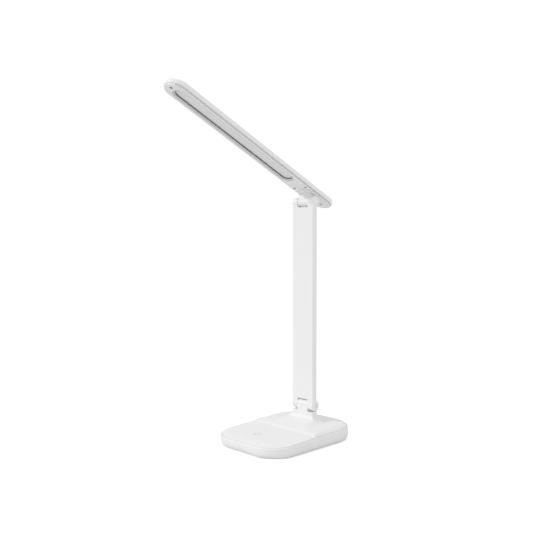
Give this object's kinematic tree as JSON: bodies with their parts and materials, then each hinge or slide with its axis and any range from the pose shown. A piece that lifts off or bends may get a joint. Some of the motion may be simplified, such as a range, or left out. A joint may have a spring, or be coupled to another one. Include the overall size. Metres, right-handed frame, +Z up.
{
  "type": "folding desk lamp",
  "caption": "Low rounded base with a touch surface and a pedestal hinge, a flat forked arm, and a long slim light head on a tilting turntable.",
  "frame": {"origin": "centre of the base, on the surface that the lamp stands on", "axes": "+Z up, the head reaches out towards -Y, the hinge axes lie along X"},
  "size_m": [0.097, 0.2207, 0.3546],
  "materials": {
    "shell_abs": "white moulded shell, fine satin grain",
    "tray_abs": "white moulded tray, fine satin grain",
    "arm_abs": "white moulded arm, fine satin grain",
    "bracket_abs": "white moulded bracket, fine satin grain",
    "head_abs": "white moulded head, fine satin grain",
    "foot_silicone": "soft grey sheet, matt",
    "screw_steel": "bright zinc plated screws",
    "pin_steel": "ground steel pin and washers",
    "stiffener_steel": "rolled steel strip",
    "ballast_iron": "raw cast ballast, rough",
    "battery_foil": "aluminium laminate pouch, satin",
    "board_laminate": "green solder mask on glass fibre board",
    "sensor_film": "thin flexible board",
    "socket_steel": "drawn steel socket shell",
    "cable_pvc": "dark soft insulation",
    "retainer_zinc": "stamped retaining ring",
    "diffuser_milk": "milky acrylic, unlit",
    "led_board_aluminium": "white coated metal core board",
    "led_phosphor": "yellow phosphor, unlit"
  },
  "bodies": {
    "base": {"base_top_shell": "shell_abs", "base_bottom_shell": "tray_abs", "base_foot_mat": "foot_silicone", "base_screws": "screw_steel", "ballast_plate": "ballast_iron", "battery_pack": "battery_foil", "control_board": "board_laminate", "board_screws": "screw_steel", "charging_socket": "socket_steel", "touch_sensor": "sensor_film"},
    "arm": {"lower_hinge_pin": "pin_steel", "lower_hinge_washers": "pin_steel", "arm_front_shell": "arm_abs", "arm_back_cover": "arm_abs", "arm_stiffener": "stiffener_steel", "arm_cable": "cable_pvc", "arm_cover_screws": "screw_steel", "upper_hinge_pin": "pin_steel", "upper_hinge_washers": "pin_steel", "upper_hinge_caps": "arm_abs"},
    "bracket": {"head_bracket": "bracket_abs", "swivel_washer": "pin_steel", "swivel_retainer": "retainer_zinc"},
    "head": {"head_top_housing": "head_abs", "head_bottom_cover": "head_abs", "head_screws": "screw_steel", "diffuser": "diffuser_milk", "led_board": "led_board_aluminium", "leds": "led_phosphor"}
  },
  "joints": [
    {"name": "arm_fold", "type": "hinge", "parent": "base", "child": "arm", "pos_m": [0, 0.032, 0.0338], "axis": [1, 0, 0], "range_deg": [-20, 90]},
    {"name": "head_tilt", "type": "hinge", "parent": "arm", "child": "bracket", "pos_m": [0, 0.032, 0.2538], "axis": [-1, 0, 0], "range_deg": [-65, 65.3]},
    {"name": "head_swivel", "type": "hinge", "parent": "bracket", "child": "head", "pos_m": [0, 0.032, 0.2538], "axis": [0, 0.4179, 0.9085], "range_deg": [-90, 180]}
  ]
}
